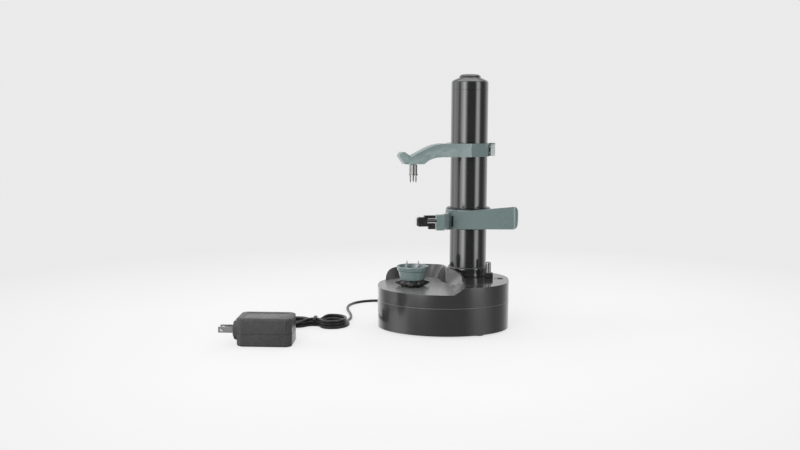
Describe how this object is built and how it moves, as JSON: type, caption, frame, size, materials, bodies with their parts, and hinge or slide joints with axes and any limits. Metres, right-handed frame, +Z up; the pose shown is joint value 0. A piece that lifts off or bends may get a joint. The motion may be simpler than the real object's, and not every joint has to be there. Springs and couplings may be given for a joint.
{
  "type": "electric potato peeler",
  "caption": "Countertop electric peeler: round base with catch dish and turntable cup, geared screw column, sprung peeling arm, sliding upper arm, mains adapter.",
  "frame": {"origin": "middle of the peeler footprint on the counter, adapter and cord left aside", "axes": "+Z up, -Y to the front where the dish opens, +X towards the finger plate of the peeling arm"},
  "size_m": [0.3319, 0.2791, 0.297],
  "materials": {
    "gloss_black": "high-gloss moulded ABS",
    "black_plastic": "satin moulded",
    "inner_plastic": "as moulded",
    "teal_plastic": "semi-gloss moulded",
    "grey_plastic": "satin moulded",
    "gear_plastic": "natural acetal",
    "steel": "brushed",
    "blade_steel": "ground",
    "bright_metal": "plated",
    "bronze": "sintered",
    "board": "laminate",
    "foot_rubber": "moulded",
    "cord_rubber": "extruded PVC",
    "adapter_plastic": "fine texture"
  },
  "bodies": {
    "base": {"lower_shell": "gloss_black", "upper_shell": "gloss_black", "rubber_feet": "foot_rubber", "shell_screws": "steel", "battery_door": "black_plastic", "door_screw": "steel", "battery_contacts": "bright_metal", "gear_plate": "inner_plastic", "plate_screws": "steel", "idler_axle": "steel", "reduction_axle": "steel", "motor": "bright_metal", "motor_screws": "steel", "hub_bush": "bronze", "screw_bush": "bronze", "column_tube": "gloss_black", "column_cap": "gloss_black", "top_bearing": "bronze", "column_collar": "gloss_black", "post_guide": "black_plastic", "micro_switch": "inner_plastic", "circuit_board": "board", "dc_jack": "black_plastic", "spare_blades": "blade_steel", "post_spring": "steel", "plug_barrel": "bright_metal", "plug_overmould": "cord_rubber", "adapter_body": "adapter_plastic", "adapter_prongs": "bright_metal", "adapter_relief": "cord_rubber", "adapter_cord_a": "cord_rubber", "adapter_cord_b": "cord_rubber", "cord_hank": "cord_rubber", "hank_tie": "cord_rubber"},
    "food_holder": {"hub_shaft": "steel", "hub_gear": "gear_plastic", "drive_hub": "gloss_black", "food_cup": "teal_plastic", "cup_prongs": "steel"},
    "idler": {"idler_gear": "gear_plastic"},
    "reduction": {"reduction_gear": "gear_plastic"},
    "rotor": {"motor_pinion": "bronze", "motor_shaft": "steel"},
    "drive_screw": {"screw_gear": "gear_plastic", "lead_screw": "steel"},
    "carriage": {"carriage_sleeve": "black_plastic", "half_nut": "gear_plastic", "torsion_spring": "steel"},
    "peeling_arm": {"peel_arm": "teal_plastic", "head_pin": "steel"},
    "blade_carrier": {"blade_head": "black_plastic", "blade": "blade_steel"},
    "upper_arm": {"upper_arm": "teal_plastic", "lever_pin": "steel"},
    "release_lever": {"release_lever": "grey_plastic"},
    "spindle": {"spindle": "bright_metal", "spindle_prongs": "steel"},
    "switch_post": {"switch_post": "bright_metal"}
  },
  "joints": [
    {"name": "food_holder_spin", "type": "hinge", "parent": "base", "child": "food_holder", "pos_m": [-0.04145, -0.01125, 0.05], "axis": [0, 0, 1], "range_deg": [-1200, 2280]},
    {"name": "idler_spin", "type": "hinge", "parent": "base", "child": "idler", "pos_m": [-0.00872, 0.01175, 0.04], "axis": [0, 0, 1], "range_deg": [-2282, 1202]},
    {"name": "screw_spin", "type": "hinge", "parent": "base", "child": "drive_screw", "pos_m": [0.024, 0.03475, 0.04], "axis": [0, 0, 1], "range_deg": [-1202, 2282]},
    {"name": "reduction_spin", "type": "hinge", "parent": "base", "child": "reduction", "pos_m": [-0.05156, 0.01378, 0.038], "axis": [0, 0, 1], "range_deg": [-6516.29, 3430.57]},
    {"name": "motor_spin", "type": "hinge", "parent": "base", "child": "rotor", "pos_m": [-0.0403, 0.03497, 0.035], "axis": [0, 0, 1], "range_deg": [-10287.71, 19544.86]},
    {"name": "carriage_slide", "type": "slide", "parent": "base", "child": "carriage", "axis": [0, 0, 1], "range_m": [-0.0381, 0.0201]},
    {"name": "peel_arm_swing", "type": "hinge", "parent": "carriage", "child": "peeling_arm", "pos_m": [0.024, 0.03475, 0.123], "axis": [0, 0, 1], "range_deg": [-18, 35], "stiffness_Nm_per_rad": 0.12},
    {"name": "blade_rock", "type": "hinge", "parent": "peeling_arm", "child": "blade_carrier", "pos_m": [-0.01425, -0.0422, 0.1293], "axis": [-0.976, -0.218, 0], "range_deg": [-20, 20]},
    {"name": "upper_arm_slide", "type": "slide", "parent": "base", "child": "upper_arm", "axis": [0, 0, 1], "range_m": [-0.012, 0.05]},
    {"name": "release_lever_turn", "type": "hinge", "parent": "upper_arm", "child": "release_lever", "pos_m": [0.05195, 0.0434, 0.2065], "axis": [0, 0, 1], "range_deg": [0, 70]},
    {"name": "spindle_spin", "type": "hinge", "parent": "upper_arm", "child": "spindle", "pos_m": [-0.04145, -0.01125, 0.185], "axis": [0, 0, 1], "continuous": true},
    {"name": "switch_press", "type": "slide", "parent": "base", "child": "switch_post", "axis": [0, 0, -1], "range_m": [0, 0.0038], "stiffness_N_per_m": 350, "springref_m": -0.001, "deforming": ["post_spring"]}
  ],
  "couplings": [
    {"joint": "idler_spin", "follows": "food_holder_spin", "ratio": -1},
    {"joint": "screw_spin", "follows": "food_holder_spin", "ratio": 1},
    {"joint": "reduction_spin", "follows": "food_holder_spin", "ratio": -2.8571},
    {"joint": "motor_spin", "follows": "food_holder_spin", "ratio": 8.5714},
    {"joint": "carriage_slide", "follows": "food_holder_spin", "m_per_rad": -0.00095493}
  ]
}
